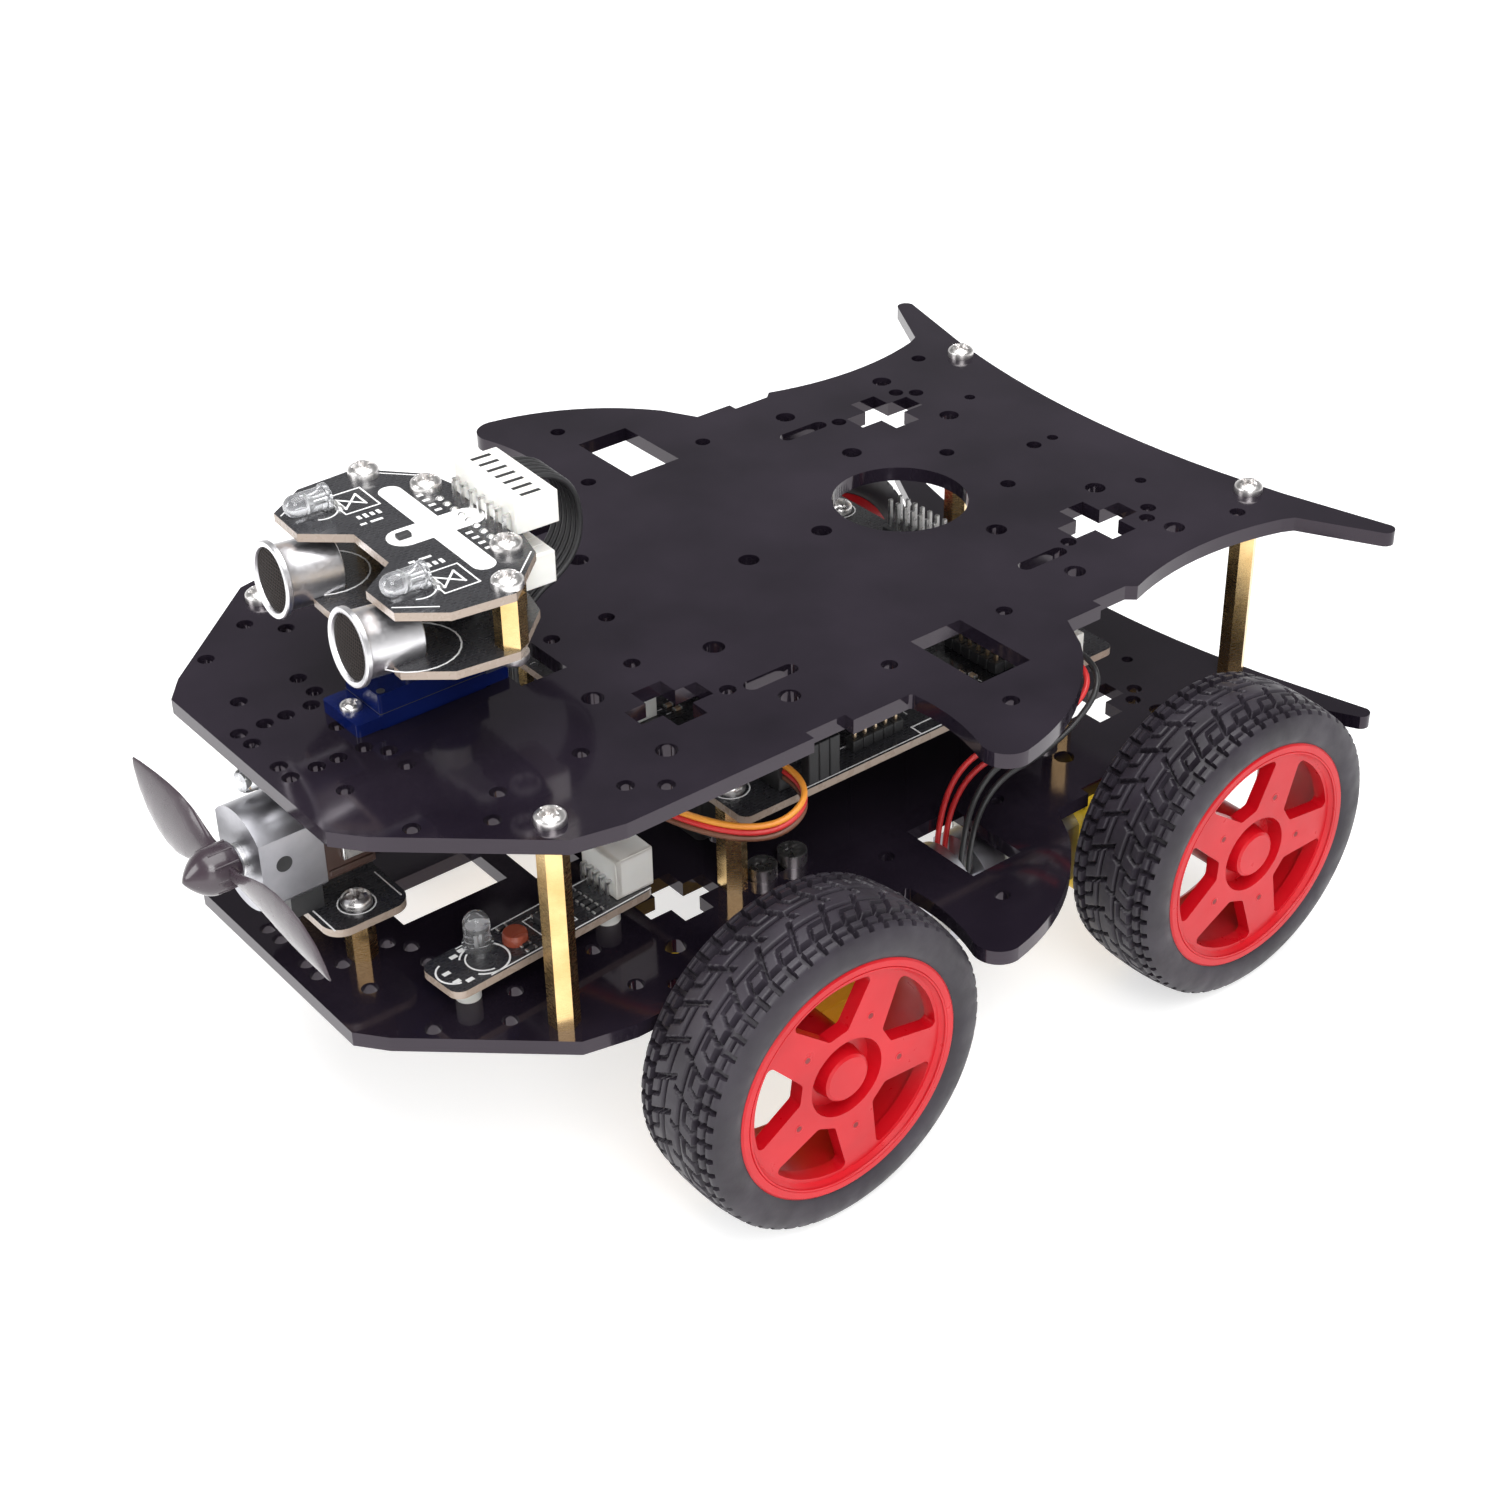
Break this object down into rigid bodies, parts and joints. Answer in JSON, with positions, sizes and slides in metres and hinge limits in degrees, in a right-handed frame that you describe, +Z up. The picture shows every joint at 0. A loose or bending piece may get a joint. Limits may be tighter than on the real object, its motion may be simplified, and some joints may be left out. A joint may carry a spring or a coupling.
{
  "type": "wheeled robot",
  "caption": "Wheeled robot with stacked acrylic decks, gear motors, controller board, panning ultrasonic sensor head on a servo, front lamp boards and a nose fan.",
  "frame": {"origin": "middle of the bounding box in plan, on the ground under the wheels", "axes": "+X forward, +Y to the robot's left, +Z up"},
  "size_m": [0.2326, 0.168, 0.1277],
  "materials": {
    "acrylic_black": "polished black acrylic sheet",
    "brass": "turned brass, light machining marks",
    "steel_screw": "nickel-plated steel",
    "pcb_black": "black solder mask with white legend",
    "chip_black": "moulded epoxy",
    "header_black": "moulded black nylon with metal pins",
    "nylon_white": "natural white nylon",
    "holder_black": "moulded black plastic",
    "cell_wrap": "shrink-wrapped cell",
    "aluminium": "milled aluminium",
    "gear_yellow": "moulded yellow plastic",
    "can_steel": "drawn steel can",
    "rim_red": "moulded red plastic",
    "tyre_black": "soft rubber, block tread",
    "shaft_white": "moulded acetal",
    "servo_blue": "translucent blue plastic",
    "horn_white": "moulded nylon",
    "bell_brown": "dark brown moulded plastic",
    "prop_black": "glossy black plastic",
    "led_clear": "clear moulded lens",
    "sensor_red": "red-brown lens",
    "lead_orange": "flexible insulation",
    "wire_red": "flexible insulation, red and black",
    "cable_black": "flexible insulation"
  },
  "bodies": {
    "chassis": {"lower_deck": "acrylic_black", "upper_deck": "acrylic_black", "deck_standoffs": "brass", "deck_screws": "steel_screw", "board_standoffs": "brass", "board_screws": "steel_screw", "controller_board": "pcb_black", "controller_chips": "chip_black", "controller_headers": "header_black", "controller_connectors": "nylon_white", "battery_box": "holder_black", "battery_cells": "cell_wrap", "motor_brackets": "aluminium", "motor_screws": "steel_screw", "servo_body": "servo_blue", "servo_screws": "steel_screw", "fan_motor": "can_steel", "fan_end_bell": "bell_brown", "fan_saddle": "holder_black", "fan_board": "pcb_black", "left_lamp_board": "pcb_black", "right_lamp_board": "pcb_black", "lamp_spacers": "nylon_white", "lamp_leds": "led_clear", "light_sensors": "sensor_red", "lamp_connectors": "nylon_white", "servo_lead": "lead_orange", "left_motor_wires": "wire_red", "right_motor_wires": "wire_red", "head_cable": "cable_black", "front_left_gearbox": "gear_yellow", "front_left_motor": "can_steel", "front_right_gearbox": "gear_yellow", "front_right_motor": "can_steel", "rear_left_gearbox": "gear_yellow", "rear_left_motor": "can_steel", "rear_right_gearbox": "gear_yellow", "rear_right_motor": "can_steel"},
    "pan_head": {"servo_horn": "horn_white", "head_lower_board": "pcb_black", "head_upper_board": "pcb_black", "head_spacers": "brass", "head_screws": "steel_screw", "transducers": "aluminium", "head_leds": "led_clear", "head_connectors": "nylon_white"},
    "fan": {"propeller": "prop_black", "spinner": "prop_black"},
    "front_left_wheel": {"front_left_rim": "rim_red", "front_left_tyre": "tyre_black", "front_left_axle": "shaft_white"},
    "front_right_wheel": {"front_right_rim": "rim_red", "front_right_tyre": "tyre_black", "front_right_axle": "shaft_white"},
    "rear_left_wheel": {"rear_left_rim": "rim_red", "rear_left_tyre": "tyre_black", "rear_left_axle": "shaft_white"},
    "rear_right_wheel": {"rear_right_rim": "rim_red", "rear_right_tyre": "tyre_black", "rear_right_axle": "shaft_white"}
  },
  "joints": [
    {"name": "head_pan", "type": "hinge", "parent": "chassis", "child": "pan_head", "pos_m": [0.06, 0, 0.1], "axis": [0, 0, 1], "range_deg": [-90, 90], "deforming": ["head_cable"]},
    {"name": "fan_spin", "type": "hinge", "parent": "chassis", "child": "fan", "pos_m": [0.1052, 0, 0.071], "axis": [1, 0, 0], "continuous": true},
    {"name": "front_left_spin", "type": "hinge", "parent": "chassis", "child": "front_left_wheel", "pos_m": [0.0314, 0.0695, 0.0325], "axis": [0, 1, 0], "continuous": true},
    {"name": "front_right_spin", "type": "hinge", "parent": "chassis", "child": "front_right_wheel", "pos_m": [0.0314, -0.0695, 0.0325], "axis": [0, 1, 0], "continuous": true},
    {"name": "rear_left_spin", "type": "hinge", "parent": "chassis", "child": "rear_left_wheel", "pos_m": [-0.0755, 0.0695, 0.0325], "axis": [0, 1, 0], "continuous": true},
    {"name": "rear_right_spin", "type": "hinge", "parent": "chassis", "child": "rear_right_wheel", "pos_m": [-0.0755, -0.0695, 0.0325], "axis": [0, 1, 0], "continuous": true}
  ]
}
